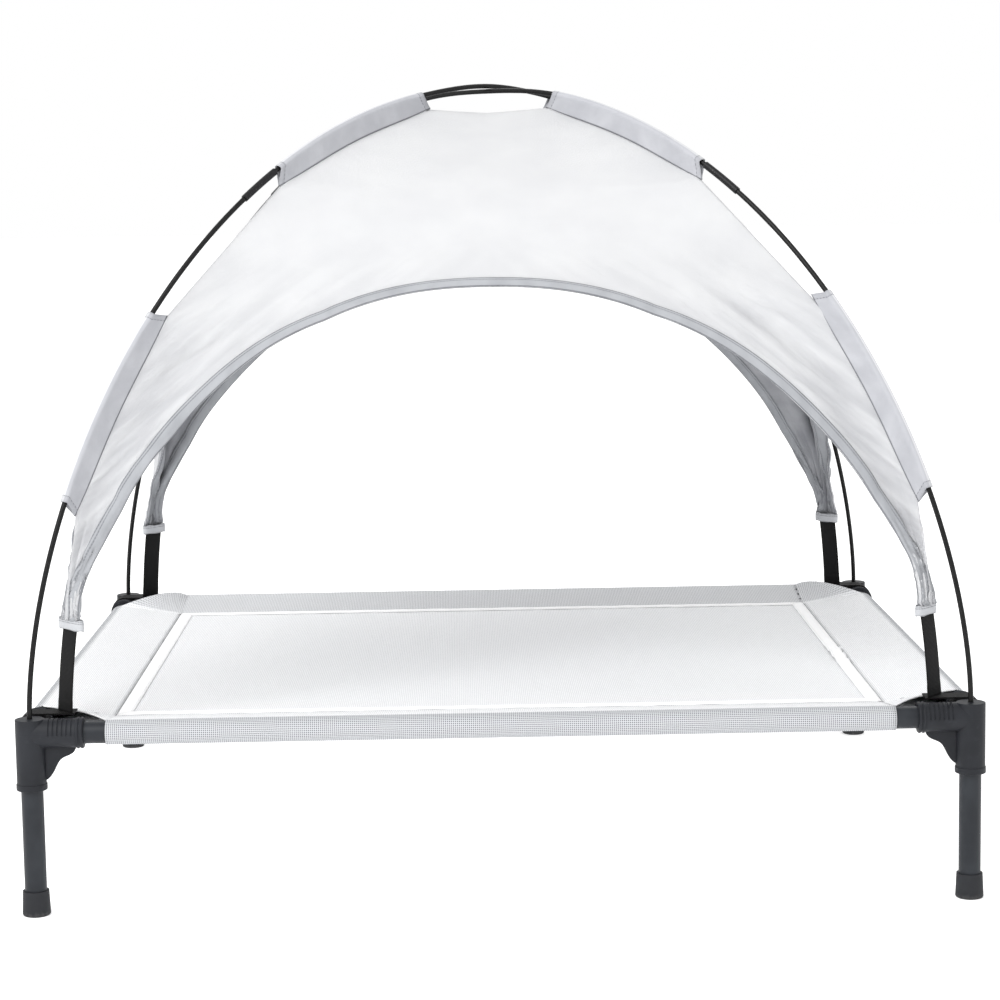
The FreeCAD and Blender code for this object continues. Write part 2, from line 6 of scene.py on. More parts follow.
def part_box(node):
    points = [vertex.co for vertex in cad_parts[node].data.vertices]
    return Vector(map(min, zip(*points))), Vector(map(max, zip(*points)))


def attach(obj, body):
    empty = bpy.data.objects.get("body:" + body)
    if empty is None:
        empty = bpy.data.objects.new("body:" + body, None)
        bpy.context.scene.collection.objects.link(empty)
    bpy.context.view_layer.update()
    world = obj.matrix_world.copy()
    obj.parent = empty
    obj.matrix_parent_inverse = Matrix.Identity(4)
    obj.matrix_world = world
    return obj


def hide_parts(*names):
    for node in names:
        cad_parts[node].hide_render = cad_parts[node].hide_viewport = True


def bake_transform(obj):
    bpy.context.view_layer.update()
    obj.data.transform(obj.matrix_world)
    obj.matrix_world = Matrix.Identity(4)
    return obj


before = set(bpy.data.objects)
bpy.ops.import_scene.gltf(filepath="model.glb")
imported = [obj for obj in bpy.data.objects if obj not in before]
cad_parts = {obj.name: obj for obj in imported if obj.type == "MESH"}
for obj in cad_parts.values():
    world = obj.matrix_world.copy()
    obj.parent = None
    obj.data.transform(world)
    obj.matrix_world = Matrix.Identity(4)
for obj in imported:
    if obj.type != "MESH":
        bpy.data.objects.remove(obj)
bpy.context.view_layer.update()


# ------------------------------------------------------------------ floor, light and camera
# A white studio: a plain floor that runs back without a horizon, a large soft light high on the
# left, weaker ones on the right and behind, and a long lens a little above the shade's middle.

scene = bpy.context.scene
scene.view_settings.view_transform = "Standard"

FLOOR_HALF = 30.0
FLOOR_COLOUR = (1.0, 1.0, 1.0, 1)
FLOOR_GLOW = 0.28
SKY_COLOUR = (1.0, 1.0, 1.0, 1)
SKY_STRENGTH = 1.0

floor_mesh = bpy.data.meshes.new("floor")
floor_mesh.from_pydata(
    [(-FLOOR_HALF, -FLOOR_HALF, 0), (FLOOR_HALF, -FLOOR_HALF, 0),
     (FLOOR_HALF, FLOOR_HALF, 0), (-FLOOR_HALF, FLOOR_HALF, 0)], [], [(0, 1, 2, 3)])
floor = bpy.data.objects.new("floor", floor_mesh)
scene.collection.objects.link(floor)
floor_paint = bpy.data.materials.new("floor_paint")
floor_paint.use_nodes = True
floor_shader = floor_paint.node_tree.nodes["Principled BSDF"]
floor_shader.inputs["Base Color"].default_value = FLOOR_COLOUR
floor_shader.inputs["Roughness"].default_value = 0.9
floor_shader.inputs["Emission Color"].default_value = SKY_COLOUR
floor_shader.inputs["Emission Strength"].default_value = FLOOR_GLOW
floor_mesh.materials.append(floor_paint)

scene.world = bpy.data.worlds.new("studio")
scene.world.use_nodes = True
scene.world.node_tree.nodes["Background"].inputs["Color"].default_value = SKY_COLOUR
scene.world.node_tree.nodes["Background"].inputs["Strength"].default_value = SKY_STRENGTH


def soft_light(name, place, aim, width, power):
    """Square area light at one point, facing another."""
    data = bpy.data.lights.new(name, "AREA")
    data.size = width
    data.energy = power
    light = bpy.data.objects.new(name, data)
    light.location = place
    light.rotation_euler = (Vector(aim) - Vector(place)).to_track_quat("-Z", "Y").to_euler()
    scene.collection.objects.link(light)


soft_light("key", (-1.7, -2.5, 2.8), (0, 0, 0.4), 2.6, 100)
soft_light("fill", (2.6, -1.6, 1.4), (0, 0, 0.4), 2.2, 6)
soft_light("rim", (0.4, 2.8, 2.4), (0, 0, 0.5), 2.0, 10)

CAMERA_PLACE = (-0.0312, -2.7562, 0.6915)
CAMERA_YAW = 0.0138
CAMERA_PITCH = 0.1251
CAMERA_ROLL = -0.0153
LENS = 92.5
SENSOR = 36.0

camera_data = bpy.data.cameras.new("camera")
camera_data.lens = LENS
camera_data.sensor_width = SENSOR
camera = bpy.data.objects.new("camera", camera_data)
scene.collection.objects.link(camera)
facing = Vector((np.sin(CAMERA_YAW) * np.cos(CAMERA_PITCH),
                 np.cos(CAMERA_YAW) * np.cos(CAMERA_PITCH),
                 -np.sin(CAMERA_PITCH)))
level = Vector((np.cos(CAMERA_YAW), -np.sin(CAMERA_YAW), 0))
turn = Matrix((level, level.cross(facing), -facing)).transposed().to_4x4()
camera.matrix_world = (Matrix.Translation(CAMERA_PLACE) @ turn
                       @ Matrix.Rotation(CAMERA_ROLL, 4, "Z"))
scene.camera = camera


# ------------------------------------------------------------------ steel tubes
# Legs and rails are round steel tube with an anthracite powder coat, pushed into the plastic
# corners. The coat has a fine orange-peel and is a little duller where it is handled.

class Channel:
    """A number that varies over a surface; arithmetic on it adds Math nodes."""

    def __init__(self, finish, socket):
        self.finish = finish
        self.socket = socket

    def math(self, operation, *terms):
        inputs = dict(enumerate(terms))
        return self.finish.node("ShaderNodeMath", {"operation": operation}, inputs)

    def __add__(self, other):
        return self.math("ADD", self, other)

    def __radd__(self, other):
        return self.math("ADD", other, self)

    def __sub__(self, other):
        return self.math("SUBTRACT", self, other)

    def __rsub__(self, other):
        return self.math("SUBTRACT", other, self)

    def __mul__(self, other):
        return self.math("MULTIPLY", self, other)

    def __rmul__(self, other):
        return self.math("MULTIPLY", other, self)

    def sine(self):
        return self.math("SINE", self)

    def size(self):
        return self.math("ABSOLUTE", self)

    def fade(self, low, high):
        """0 below low, 1 above high, with a smooth turn between."""
        settings = {"interpolation_type": "SMOOTHSTEP"}
        inputs = {"Value": self, "From Min": low, "From Max": high}
        return self.finish.node("ShaderNodeMapRange", settings, inputs)


class Finish:
    """One material: a Principled shader with constants on it, and a method that adds nodes."""

    def __init__(self, name, **constants):
        self.material = bpy.data.materials.new(name)
        self.material.use_nodes = True
        self.tree = self.material.node_tree
        self.shader = self.tree.nodes["Principled BSDF"]
        for socket, value in constants.items():
            self.shader.inputs[socket.replace("_", " ")].default_value = value

    def node(self, kind, settings=None, inputs=None, output=0):
        """Add a node, set it up, fill or link its sockets, and return one of its outputs."""
        made = self.tree.nodes.new(kind)
        for field, value in (settings or {}).items():
            setattr(made, field, value)
        for socket, value in (inputs or {}).items():
            if isinstance(value, Channel):
                self.tree.links.new(value.socket, made.inputs[socket])
            else:
                made.inputs[socket].default_value = value
        return Channel(self, made.outputs[output])

    def place(self):
        """Object coordinates, in metres."""
        return self.node("ShaderNodeTexCoord", output="Object")

    def cloth(self):
        """The piece's own flat coordinates, in metres along and across the cloth."""
        return self.node("ShaderNodeUVMap", {"uv_map": "cloth"})

    def axes(self, vector):
        """The three parts of a vector."""
        split = self.node("ShaderNodeSeparateXYZ", inputs={0: vector})
        outputs = split.socket.node.outputs
        return [Channel(self, outputs[index]) for index in range(3)]

    def noise(self, vector, scale, detail=2.0):
        """Cloudy noise about a half, scale times a metre."""
        inputs = {"Vector": vector, "Scale": scale, "Detail": detail}
        return self.node("ShaderNodeTexNoise", inputs=inputs)

    def mix(self, share, first, second):
        """Colour between two others."""
        inputs = {"Factor": share, 6: first, 7: second}
        return self.node("ShaderNodeMix", {"data_type": "RGBA"}, inputs, 2)

    def paint(self, socket, channel):
        """Link a channel to the shader."""
        self.tree.links.new(channel.socket, self.shader.inputs[socket])

    def relief(self, height, depth):
        """Bump of a height that runs from 0 to 1 over a depth in metres."""
        inputs = {"Height": height, "Distance": depth}
        self.paint("Normal", self.node("ShaderNodeBump", inputs=inputs))


def dress(finish, *nodes):
    """Give CAD nodes a finish."""
    for name in nodes:
        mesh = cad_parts[name].data
        mesh.materials.clear()
        mesh.materials.append(finish.material)


CORNERS = {
    "front_left": (-1, -1), "front_right": (1, -1),
    "rear_right": (1, 1), "rear_left": (-1, 1),
}
ANTHRACITE = (0.014, 0.016, 0.020, 1)
ANTHRACITE_DULL = (0.022, 0.025, 0.030, 1)

steel = Finish("powder_coated_steel", Specular_IOR_Level=0.24)
handled = steel.noise(steel.place(), 22, 3).fade(0.42, 0.68)
steel.paint("Base Color", steel.mix(handled, ANTHRACITE, ANTHRACITE_DULL))
steel.paint("Roughness", 0.40 + handled * 0.12)
steel.relief(steel.noise(steel.place(), 900, 2), 0.00012)
dress(steel, *[f"leg_{corner}" for corner in CORNERS],
      *[f"rail_{side}" for side in ("front", "rear", "left", "right")])


# ------------------------------------------------------------------ corner connectors
# Moulded plastic corners that take a leg and two rails, with grip grooves and a double bead at
# each mouth. The two mould halves leave a faint line along the arms, and the skin is spark-eroded.

post_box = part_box("foot_cap_front_right")
post_x, post_y = (post_box[0].xy + post_box[1].xy) / 2 * Vector((1, -1))
platform_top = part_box("connector_front_left")[1].z
rail_z = (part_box("rail_front")[0].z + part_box("rail_front")[1].z) / 2

MOULD_LINE = 0.00022
moulded = Finish("moulded_plastic", Specular_IOR_Level=0.22)
_, _, spot_z = moulded.axes(moulded.place())
mould_line = 1 - (spot_z - rail_z).size().fade(MOULD_LINE * 0.4, MOULD_LINE)
skin = moulded.noise(moulded.place(), 2600, 2)
flow = moulded.noise(moulded.place(), 26, 3)
scuffs = moulded.noise(moulded.place(), 130, 4).fade(0.62, 0.74)
moulded.paint("Base Color", moulded.mix(flow.fade(0.3, 0.75) * 0.7 + scuffs * 0.3,
                                        (0.010, 0.011, 0.014, 1), (0.020, 0.022, 0.027, 1)))
moulded.paint("Roughness", 0.46 + flow * 0.12 - scuffs * 0.05)
moulded.relief(skin * 0.35 + mould_line * 0.65, 0.00018)
dress(moulded, *[f"connector_{corner}" for corner in CORNERS])


# ------------------------------------------------------------------ foot caps
# Soft rubber cups pushed on the legs, matt, with dust in the pores near the floor.

rubber = Finish("foot_rubber", Specular_IOR_Level=0.3)
DUST_TOP = 0.010
_, _, spot_z = rubber.axes(rubber.place())
dust = (1 - spot_z.fade(DUST_TOP * 0.1, DUST_TOP)) * rubber.noise(rubber.place(), 300, 3)
rubber.paint("Base Color", rubber.mix(
    dust.fade(0.2, 0.75), (0.014, 0.015, 0.018, 1), (0.050, 0.050, 0.050, 1)))
rubber.paint("Roughness", 0.68 + dust * 0.2)
rubber.relief(rubber.noise(rubber.place(), 1400, 3), 0.00015)
dress(rubber, *[f"foot_cap_{corner}" for corner in CORNERS])


# ------------------------------------------------------------------ poles and ferrules
# Two bowed glass-fibre rods, each of three lengths joined by black metal ferrules. The rods have
# the faint lengthwise grain of pulled fibre under a thin resin gloss.

fibreglass = Finish("pulled_fibreglass", Specular_IOR_Level=0.22)
grain = fibreglass.noise(fibreglass.place(), 420, 4)
fibreglass.paint("Base Color", fibreglass.mix(
    grain.fade(0.45, 0.75), (0.003, 0.003, 0.003, 1), (0.010, 0.010, 0.011, 1)))
fibreglass.paint("Roughness", 0.30 + grain * 0.15)
fibreglass.relief(grain, 0.00006)
POLE_LENGTHS = [f"pole_{pole}_{length}" for pole in "ab" for length in ("front", "middle", "rear")]
dress(fibreglass, *POLE_LENGTHS)

ferrule_coat = Finish("ferrule_coat", Metallic=0.2, Specular_IOR_Level=0.3)
rubbed = ferrule_coat.noise(ferrule_coat.place(), 700, 4).fade(0.58, 0.72)
ferrule_coat.paint("Base Color", ferrule_coat.mix(
    rubbed, (0.006, 0.006, 0.007, 1), (0.045, 0.045, 0.047, 1)))
ferrule_coat.paint("Roughness", 0.42 - rubbed * 0.10)
ferrule_coat.relief(ferrule_coat.noise(ferrule_coat.place(), 1800, 2), 0.00008)
dress(ferrule_coat, *[f"ferrule_pole_{pole}_{end}" for pole in "ab" for end in ("front", "rear")])


# ------------------------------------------------------------------ sling
# A taut sheet of coated open mesh. Its edges turn round the rails and back under to a seam 7 cm
# in, so each edge is a flat-sided sleeve, and the corners are scooped round the connectors,
# where the free edge is pulled up between two rails.

SLING_SKIN = 0.0011
SLING_SAG = 0.0030
SLEEVE_RADIUS = 0.0113
FRONT_CURL = 0.0012
REAR_CURL = 0.0105
FRONT_SCOOP = 0.006
REAR_SCOOP = 0.016
CENTRE_RIPPLE = 0.0006
SLEEVE_RIPPLE = 0.0007
RIGHT_WRINKLE = 0.0009
WEB_PUCKER = 0.0008
EDGE_FLATNESS = 8

seam_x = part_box("sling_centre")[1].x
seam_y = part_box("sling_centre")[1].y


def cloth_piece(name, grids, finish, thickness, body):
    """Mesh object from grids, each (points, flat): arrays of rows by columns by 3 and by 2.

    Neighbouring grid points make quads, coincident points are merged, a quad that loses a side
    becomes a triangle, and the flat coordinates become the cloth's own UV map, in metres.
    """
    points = []
    flats = []
    faces = []
    offset = 0
    for spots, flat in grids:
        rows, columns = spots.shape[:2]
        index = offset + np.arange(rows * columns).reshape(rows, columns)
        quads = np.stack([index[:-1, :-1], index[:-1, 1:], index[1:, 1:], index[1:, :-1]], axis=-1)
        faces.append(quads.reshape(-1, 4))
        points.append(spots.reshape(-1, 3))
        flats.append(flat.reshape(-1, 2))
        offset += rows * columns
    points = np.concatenate(points)
    flats = np.concatenate(flats)
    faces = np.concatenate(faces)
    cloth_uv = flats[faces]
    _, first, merged = np.unique(
        np.round(points, 5), axis=0, return_index=True, return_inverse=True)
    points = points[first]
    faces = merged.reshape(-1)[faces]
    distinct = faces != np.roll(faces, 1, axis=1)
    crossed = (faces[:, 0] == faces[:, 2]) | (faces[:, 1] == faces[:, 3])
    sound = (distinct.sum(axis=1) >= 3) & ~crossed
    polygons = [face[kept].tolist() for face, kept in zip(faces[sound], distinct[sound])]
    cloth_uv = cloth_uv[sound][distinct[sound]]
    mesh = bpy.data.meshes.new(name)
    mesh.from_pydata(points.tolist(), [], polygons)
    uv_map = mesh.uv_layers.new(name="cloth")
    uv_map.data.foreach_set("uv", cloth_uv.astype(np.float32).reshape(-1))
    mesh.validate()
    mesh.shade_smooth()
    mesh.materials.append(finish.material)
    piece = bpy.data.objects.new(name, mesh)
    scene.collection.objects.link(piece)
    if thickness:
        shell = piece.modifiers.new("thickness", "SOLIDIFY")
        shell.thickness = thickness
        shell.offset = 0
        shell.use_even_offset = False
    if body:
        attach(piece, body)
    return piece


def waves(along, across, seed, count, scale):
    """Smooth random field from -1 to 1: a few sine waves in random directions, about scale long."""
    draw = np.random.default_rng(seed)
    total = np.zeros_like(along)
    for _ in range(count):
        angle = draw.uniform(0, np.pi)
        length = scale * draw.uniform(0.6, 1.6)
        phase = draw.uniform(0, 2 * np.pi)
        way = along * np.cos(angle) + across * np.sin(angle)
        total += np.sin(way * 2 * np.pi / length + phase)
    return total / count


def sling_centre():
    """Sheet inside the seams: level with the rails' axes, sagging by a product of two parabolas."""
    across, deep = np.meshgrid(np.linspace(-1, 1, 121), np.linspace(-1, 1, 97))
    sag = SLING_SAG * (1 - across ** 2) * (1 - deep ** 2)
    loose = (1 - across ** EDGE_FLATNESS) * (1 - deep ** EDGE_FLATNESS)
    ripple = CENTRE_RIPPLE * waves(across * seam_x, deep * seam_y, 4, 6, 0.16) * loose
    spots = np.stack([across * seam_x, deep * seam_y, rail_z - sag + ripple], axis=-1)
    return spots, spots[..., :2].copy()


def sleeve_profile(reach):
    """Teardrop section of a sleeve as (distance out from the seam, height above the axis).

    It runs straight from the seam up to the rail's top, round the rail's outside in a half
    circle, and straight back to the seam underneath.
    """
    run = np.linspace(0, 1, 13)
    turn_angle = np.linspace(np.pi / 2, -np.pi / 2, 17)[1:-1]
    round_out = reach + SLEEVE_RADIUS * np.cos(turn_angle)
    round_up = SLEEVE_RADIUS * np.sin(turn_angle)
    out = np.concatenate([run * reach, round_out, run[::-1] * reach])
    up = np.concatenate([run * SLEEVE_RADIUS, round_up, -run[::-1] * SLEEVE_RADIUS])
    return out, up


def rail_sleeve(along_x, side):
    """One sleeve: the teardrop section carried straight along its rail, with shallow ripples.

    The right one also has short wrinkles across it, where the cloth is pulled tighter.
    """
    reach = (post_y - seam_y) if along_x else (post_x - seam_x)
    half = seam_x if along_x else seam_y
    seam = seam_y if along_x else seam_x
    out, up = sleeve_profile(reach)
    run = np.linspace(-half, half, 141 if along_x else 111)
    run_grid, out_grid = np.meshgrid(run, out, indexing="ij")
    _, up_grid = np.meshgrid(run, up, indexing="ij")
    slack = np.sin(np.pi * np.clip(out_grid / reach, 0, 1))
    slack = slack * (1 - (run_grid / half) ** EDGE_FLATNESS)
    ripple = SLEEVE_RIPPLE * slack * waves(run_grid, out_grid, 9 + side, 6, 0.09)
    if side > 0 and not along_x:
        ripple = ripple + RIGHT_WRINKLE * slack * waves(run_grid, 0.15 * out_grid, 17, 5, 0.035)
    reach_grid = side * (seam + out_grid)
    height = rail_z + up_grid + ripple * np.sign(up_grid)
    lengths = np.concatenate([[0], np.cumsum(np.hypot(np.diff(out), np.diff(up)))])
    flat = np.stack(np.broadcast_arrays(run_grid, lengths[None, :]), axis=-1)
    parts = [run_grid, reach_grid, height] if along_x else [reach_grid, run_grid, height]
    return np.stack(parts, axis=-1), flat


def sling_corner(side_x, side_y, below):
    """Corner web: a fan from the seams' corner to the scooped free edge between two rails.

    The free edge is a parabola pulled in towards the seams. Above, it curls up with the fourth
    power of the distance from the seams' corner, most at the middle of the edge, and more at
    the rear, where the cloth is slacker.
    """
    angle, reach = np.meshgrid(np.linspace(0, 1, 41), np.linspace(0, 1, 33))
    sign = -1 if below else 1
    root = np.array([seam_x, seam_y, rail_z])
    end_x = np.array([seam_x, post_y, rail_z + sign * SLEEVE_RADIUS])
    end_y = np.array([post_x, seam_y, rail_z + sign * SLEEVE_RADIUS])
    bow = 4 * angle * (1 - angle)
    edge = end_x + (end_y - end_x) * angle[..., None]
    pull = (root - (end_x + end_y) / 2) * np.array([1, 1, 0])
    pull = pull / np.linalg.norm(pull)
    scoop = FRONT_SCOOP if side_y < 0 else REAR_SCOOP
    edge = edge + pull * (scoop * bow)[..., None]
    spots = root + (edge - root) * reach[..., None]
    lift = FRONT_CURL if side_y < 0 else REAR_CURL
    curl = lift * bow * reach ** 4 * (0.15 if below else 1.0)
    pucker = WEB_PUCKER * bow * reach ** 2 * np.sin(angle * 37) * (1 - reach ** 6)
    spots[..., 2] += curl + pucker
    spots = spots * np.array([side_x, side_y, 1])
    return spots, spots[..., :2].copy()


YARN_PITCH = 0.0019
WEAVE_DEPTH = 0.0004


def mesh_weave(finish):
    """Open weave: a hole where two raised sines both peak; 1 on a yarn, 0 in a hole."""
    along, across, _ = finish.axes(finish.cloth())
    turn_rate = 2 * np.pi / YARN_PITCH
    drift = finish.noise(finish.cloth(), 70, 2) * 2.4
    rows = ((along * turn_rate + drift).sine() + 1) * 0.5
    columns = ((across * turn_rate - drift).sine() + 1) * 0.5
    return 1 - rows * columns


mesh_cloth = Finish("sling_mesh", Roughness=0.62, Specular_IOR_Level=0.2)
yarn = mesh_weave(mesh_cloth)
spot_x, spot_y, _ = mesh_cloth.axes(mesh_cloth.place())
# Painted light and shade: the open cells are painted light grey in the middle for the lit floor
# seen through them. Over the rails and on the rear sleeve they are painted near black, and the yarn
# there is painted darker too, as painted shade.
over_rail = (spot_y.size() - post_y).fade(-0.004, 0.003)
over_rail = over_rail.math("MAXIMUM", over_rail, (spot_x.size() - post_x).fade(-0.004, 0.003))
rear_strip = (spot_y - seam_y).fade(0.000, 0.004) * 0.55
doubled_shade = over_rail.math("MAXIMUM", over_rail, rear_strip)
open_cell = mesh_cloth.mix(doubled_shade, (0.60, 0.61, 0.625, 1), (0.08, 0.085, 0.095, 1))
thread = mesh_cloth.mix(doubled_shade * 0.9, (0.88, 0.885, 0.895, 1), (0.47, 0.48, 0.50, 1))
mesh_cloth.paint("Base Color", mesh_cloth.mix(yarn.fade(0.35, 0.80), open_cell, thread))
mesh_cloth.relief(yarn, WEAVE_DEPTH)

sling_grids = [sling_centre()]
sling_grids += [rail_sleeve(along_x, side) for along_x in (True, False) for side in (-1, 1)]
sling_grids += [sling_corner(*signs, below)
                for signs in CORNERS.values() for below in (False, True)]
sling = cloth_piece("sling", sling_grids, mesh_cloth, SLING_SKIN, "bed")
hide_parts("sling_centre", "sling_sleeve_front", "sling_sleeve_rear", "sling_sleeve_left",
            "sling_sleeve_right", "sling_corner_webs")
section = 2 * (post_y - seam_y) + np.pi * SLEEVE_RADIUS
sling_flat = (2 * (seam_x + section), 2 * (seam_y + section))


# ------------------------------------------------------------------ border tape
# White woven tape stitched over the four seams of the sling, mitred at the corners, with a row
# of stitches near each edge. On the right it has bunched up a little under the needle.

TAPE_WIDTH = 0.0140
TAPE_SETBACK = 0.0008
TAPE_RISE = 0.0009
TAPE_LIFT = 0.0005
PUCKER_PLACE = -0.045
PUCKER_LENGTH = 0.045
PUCKER_DEPTH = 0.0022
PUCKER_PACE = 95
TAPE_RIPPLE = 0.0003
TAPE_THICKNESS = 0.0004
TAPE_RIB = 0.0011
TAPE_STITCH = 0.0030
STITCH_INSET = 0.0018


def tape_strip(side_x, side_y, along_x):
    """One mitred strip: a shallow arch across its width, carried along a seam."""
    far_x = seam_x - TAPE_SETBACK
    far_y = seam_y - TAPE_SETBACK
    run, across = np.meshgrid(np.linspace(-1, 1, 161), np.linspace(0, 1, 9), indexing="ij")
    inset = across * TAPE_WIDTH
    half = (far_x if along_x else far_y) - inset
    reach = (far_y if along_x else far_x) - inset
    lift = TAPE_LIFT + TAPE_RISE * (1 - (2 * across - 1) ** 6)
    pucker = TAPE_RIPPLE * waves(run * half, across * 0.03, 21, 5, 0.03)
    if side_x > 0:
        bunched = np.exp(-((run * half - PUCKER_PLACE) / PUCKER_LENGTH) ** 2)
        gathers = np.abs(np.sin(run * half * PUCKER_PACE + across * 2.0))
        pucker = pucker + PUCKER_DEPTH * bunched * gathers
    sag = SLING_SAG * (1 - (run * half / (seam_x if along_x else seam_y)) ** 2)
    sag = sag * (1 - (reach / (seam_y if along_x else seam_x)) ** 2)
    height = rail_z + SLING_SKIN / 2 + lift + pucker - sag
    signed = reach * (side_y if along_x else side_x)
    parts = [run * half, signed, height] if along_x else [signed, run * half, height]
    flat = np.stack([run * half, inset], axis=-1)
    return np.stack(parts, axis=-1), flat


tape = Finish("border_tape", Roughness=0.6, Specular_IOR_Level=0.25)
along, across, _ = tape.axes(tape.cloth())
row_gap = ((across - TAPE_WIDTH / 2).size() - (TAPE_WIDTH / 2 - STITCH_INSET)).size()
stitch_row = 1 - row_gap.fade(0.0001, 0.0005)
stitch = stitch_row * (along * (2 * np.pi / TAPE_STITCH)).sine().fade(-0.3, 0.3)
ribs = ((along * (2 * np.pi / TAPE_RIB)).sine() + 1) * 0.5
tape.paint("Base Color", tape.mix(stitch, (0.95, 0.95, 0.95, 1), (0.74, 0.74, 0.76, 1)))
tape.relief(ribs * 0.3 + (1 - stitch) * 0.7, 0.0003)
tape_grids = [tape_strip(0, side, True) for side in (-1, 1)]
tape_grids += [tape_strip(side, 0, False) for side in (-1, 1)]
border = cloth_piece("border_tape_strips", tape_grids, tape, TAPE_THICKNESS,
                     "bed")
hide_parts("border_tape")
sling_flat[0] * sling_flat[1] - 4 * section ** 2 * 0.75


# ------------------------------------------------------------------ canopy
# Four curved panels of thin plain-woven polyester sewn along ridges under the poles, each cut to
# an arch. Tension runs out of the four gathered legs, so soft folds fan up from them.

BOW_POWER = 1.16
ARCH_SIDE_POWER = 0.85
ARCH_RISE_POWER = 1.5
SEAM_DROP = 0.0205
SEAM_TAPER = 0.27
CROWN_SAG = 0.033
ARCH_HEIGHT = 0.586
ARCH_LEAN = 0.006
LEG_STRIP = 0.017
RIDGE_WINDOW = 0.13
UPPER_SLEEVE = (8.5, 28.7)
LOWER_SLEEVE = (47.3, 67.3)
LEG_END_ANGLE = 81.0
CLOTH_THICKNESS = 0.0007
LEG_GATHER_TOP = 0.395
GATHER_POWER = 4.0
CUFF_INSET = 0.0488
CUFF_HALF_WIDTH = 0.0158
CUFF_HALF_DEPTH = 0.0034
PLEAT_DEPTH = 0.0024
PLEATS = 3.5
FOLD_DEPTH = 0.0105
CRUMPLE_DEPTH = 0.0035
CRUMPLE_TOP = 0.46
CREASE_COUNT = 5
CREASE_START = (0.14, 0.34)
CREASE_INSET = (0.0, 0.04)
CREASE_ANGLE = (28, 52)
CREASE_LENGTH = (0.08, 0.17)
CREASE_SHARE = (0.5, 1.0)
DRAG_WIDTH = 0.006
DRAG_DEPTH = 0.0060
FAN_SMOOTH = (9, 0.45)
FAN_CREASED = ((10, 0.7), (17, 0.4))
CREASED_MEAN = 0.6
FAN_SPREAD = 0.02
FAN_CLEAR = 0.09
FAN_FADE = 0.28
SWELL_DEPTH = 0.0012
MIDDLE_SAG = 0.006
PANEL_COLUMNS = 221
PANEL_ROWS = 49
THREAD_PITCH = 0.0008
POLE_RADIUS = 0.0025
CROSSING_LIFT = 0.0027

half_span = np.hypot(post_x, post_y)
shade_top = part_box("pole_a_middle")[1].z
pole_rise = shade_top - POLE_RADIUS - CROSSING_LIFT - platform_top
cuff_low, cuff_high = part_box("leg_cuff_front_right")
cuff_bottom, cuff_top = cuff_low.z, cuff_high.z


def bow(angle):
    """The poles' curve: distance from the middle is the sine, height a power of the cosine."""
    radians = np.radians(angle)
    height = platform_top + pole_rise * np.abs(np.cos(radians)) ** BOW_POWER
    return half_span * np.sin(radians), height


def bow_slope(angle):
    """Unit direction along the poles' curve, as (outwards, up)."""
    run, rise = (np.array(bow(angle + 0.01)) - np.array(bow(angle - 0.01)))
    length = np.hypot(run, rise)
    return run / length, rise / length


def seam_drop(share):
    """How far a sleeve's seam lies inside the pole: less at both ends, by a fourth power."""
    return SEAM_DROP * (1 - SEAM_TAPER * (2 * share - 1) ** 4)


def beside_bow(angle, drop):
    """Point at a distance square to the poles' curve on its inner side."""
    distance, height = bow(angle)
    run, rise = bow_slope(angle)
    return distance + rise * drop, height - run * drop


def ridge_line():
    """The canopy's ridge from crown to leg end: under both sleeves, with straight runs between."""
    crown = np.array([[0.0, shade_top - CROWN_SAG]])
    share = np.linspace(0, 1, 80)
    upper = np.stack(beside_bow(np.linspace(*UPPER_SLEEVE, 80), seam_drop(share)), axis=-1)
    lower = np.stack(beside_bow(np.linspace(*LOWER_SLEEVE, 80), seam_drop(share)), axis=-1)
    foot = np.array([half_span - CUFF_INSET + CUFF_HALF_DEPTH, cuff_top])
    leg = lower[-1] + (foot - lower[-1]) * np.linspace(0, 1, 40)[1:, None]
    line = np.concatenate([crown, upper, lower, leg])
    length = np.concatenate([[0], np.cumsum(np.hypot(*np.diff(line, axis=0).T))])
    return length, line[:, 0], line[:, 1]


ridge_length, ridge_out, ridge_up = ridge_line()
ridge_end = ridge_length[-1]
crown_end = np.argmax(ridge_up)


def ridge_at_height(height):
    """Length along the ridge at which it is at a height, below the crown."""
    return np.interp(-height, -ridge_up[crown_end:], ridge_length[crown_end:])


def leg_gather(own, side, own_post, side_post, height):
    """Draw the cloth near a leg end in to a flat pleated band across the diagonal.

    own and side are distances from the middle towards the panel's own face and along it. The
    share drawn in grows by a fourth power, from nothing well above the cuff to all of it at the
    cuff. The pleats are a sine across the band.
    """
    reach = (LEG_GATHER_TOP - height) / (LEG_GATHER_TOP - cuff_top)
    share = np.clip(reach, 0, 1) ** GATHER_POWER
    ridge_side = np.interp(-height, -ridge_up[crown_end:], ridge_out[crown_end:])
    ridge_side = ridge_side * side_post / half_span
    inner = ridge_side - np.abs(side)
    strip = np.maximum(ridge_side - arch_half_width(height, side_post), 1e-6)
    wrap = np.clip(inner / strip, 0, 1.2)
    centre = half_span - CUFF_INSET
    out_side = side_post / half_span
    out_own = own_post / half_span
    pleat = PLEAT_DEPTH * np.sin(wrap * np.pi * 2 * PLEATS) * np.clip(reach, 0, 1) ** 0.7
    bulge = centre + CUFF_HALF_DEPTH * np.cos(wrap * np.pi / 2)
    spread = CUFF_HALF_WIDTH * np.sin(wrap * np.pi / 2)
    target_side = out_side * bulge - out_own * spread
    target_own = out_own * bulge + out_side * spread
    side_now = np.abs(side)
    new_side = side_now + (target_side - side_now) * share + out_side * pleat
    new_own = own + (target_own - own) * share + out_own * pleat
    return new_own, new_side * np.sign(side)


